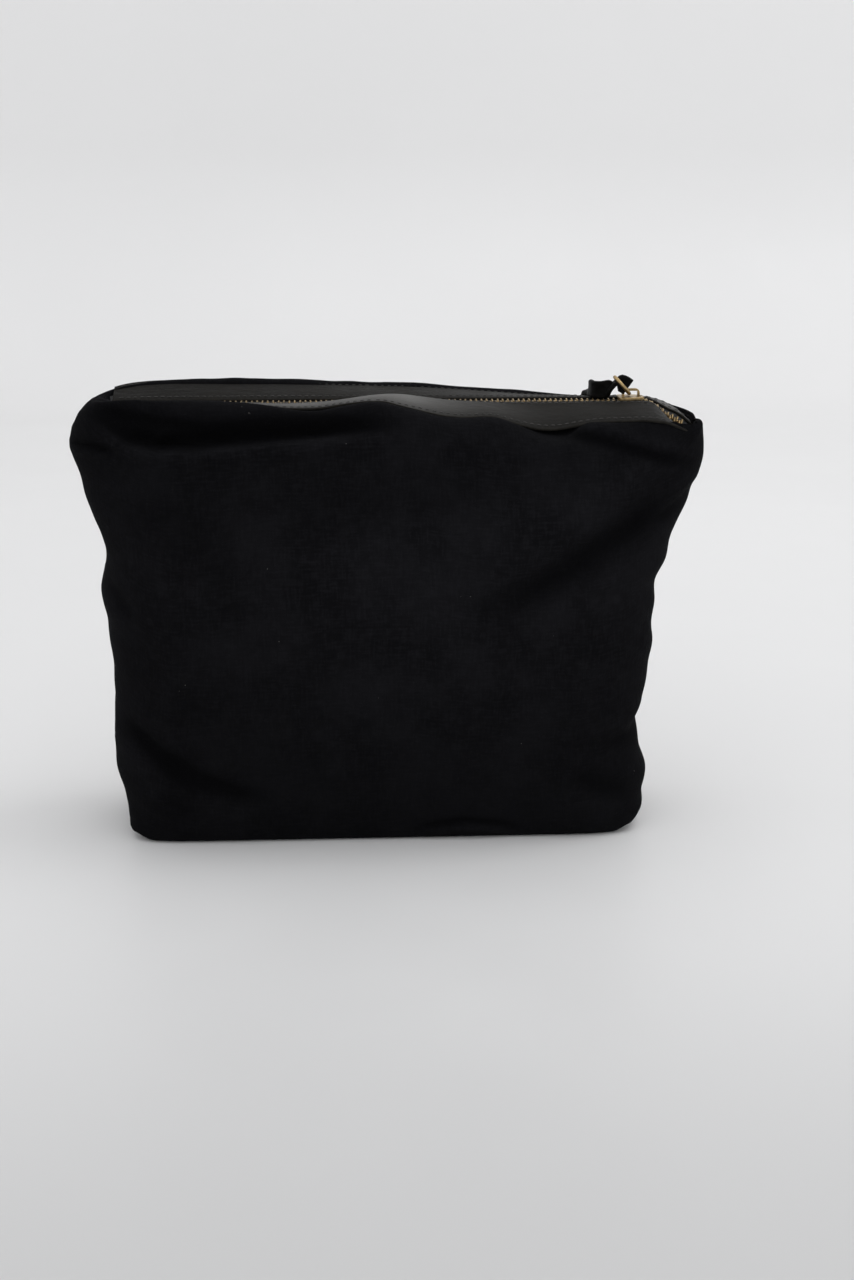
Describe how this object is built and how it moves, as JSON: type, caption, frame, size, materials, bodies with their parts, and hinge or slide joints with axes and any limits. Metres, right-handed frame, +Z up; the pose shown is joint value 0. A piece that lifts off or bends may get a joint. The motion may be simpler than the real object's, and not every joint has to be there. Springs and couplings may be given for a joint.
{
  "type": "zip-top wash bag",
  "caption": "Soft zip-top wash bag for shaving kit: canvas pouch on a boxed base, leather strips beside a brass zip, ring and leather pull.",
  "frame": {"origin": "on the floor, under the middle of the bag's base", "axes": "+Z up, +X along the zip towards its closed end where the slider is parked, -Y towards the front"},
  "size_m": [0.3042, 0.11, 0.2173],
  "materials": {
    "canvas": "matt woven cotton, black",
    "lining": "matt plain weave, charcoal",
    "leather": "smooth, semi-gloss, dark brown-black",
    "zip_tape": "woven tape, black",
    "brass": "aged, polished by handling"
  },
  "bodies": {
    "bag": {"front_panel": "canvas", "rear_panel": "canvas", "front_lining": "lining", "rear_lining": "lining", "front_facing_ends": "leather", "rear_facing_ends": "leather", "front_tape_ends": "zip_tape", "rear_tape_ends": "zip_tape", "front_teeth_ends": "brass", "rear_teeth_ends": "brass", "top_stops": "brass", "bottom_stop": "brass", "left_end_tab": "canvas", "right_end_tab": "canvas"},
    "front_mouth": {"front_facing": "leather", "front_tape": "zip_tape", "front_teeth": "brass"},
    "rear_mouth": {"rear_facing": "leather", "rear_tape": "zip_tape", "rear_teeth": "brass"},
    "slider": {"slider_body": "brass", "slider_bail": "brass"},
    "ring": {"pull_ring": "brass"},
    "pull": {"pull_tab": "leather"}
  },
  "joints": [
    {"name": "slider_travel", "type": "slide", "parent": "bag", "child": "slider", "axis": [-1, 0, 0], "range_m": [0, 0.2337]},
    {"name": "ring_swing", "type": "hinge", "parent": "slider", "child": "ring", "pos_m": [0.1152, 0, 0.207], "axis": [0, 1, 0], "range_deg": [0, 80]},
    {"name": "pull_swing", "type": "hinge", "parent": "ring", "child": "pull", "pos_m": [0.10837, 0, 0.21458], "axis": [0, 1, 0], "range_deg": [0, 80]},
    {"name": "front_mouth_open", "type": "hinge", "parent": "bag", "child": "front_mouth", "pos_m": [0, -0.025, 0.2033], "axis": [1, 0, 0], "range_deg": [0, 70]},
    {"name": "rear_mouth_open", "type": "hinge", "parent": "bag", "child": "rear_mouth", "pos_m": [0, 0.025, 0.2033], "axis": [-1, 0, 0], "range_deg": [0, 70]}
  ],
  "couplings": [
    {"joint": "rear_mouth_open", "follows": "front_mouth_open", "ratio": 1}
  ]
}
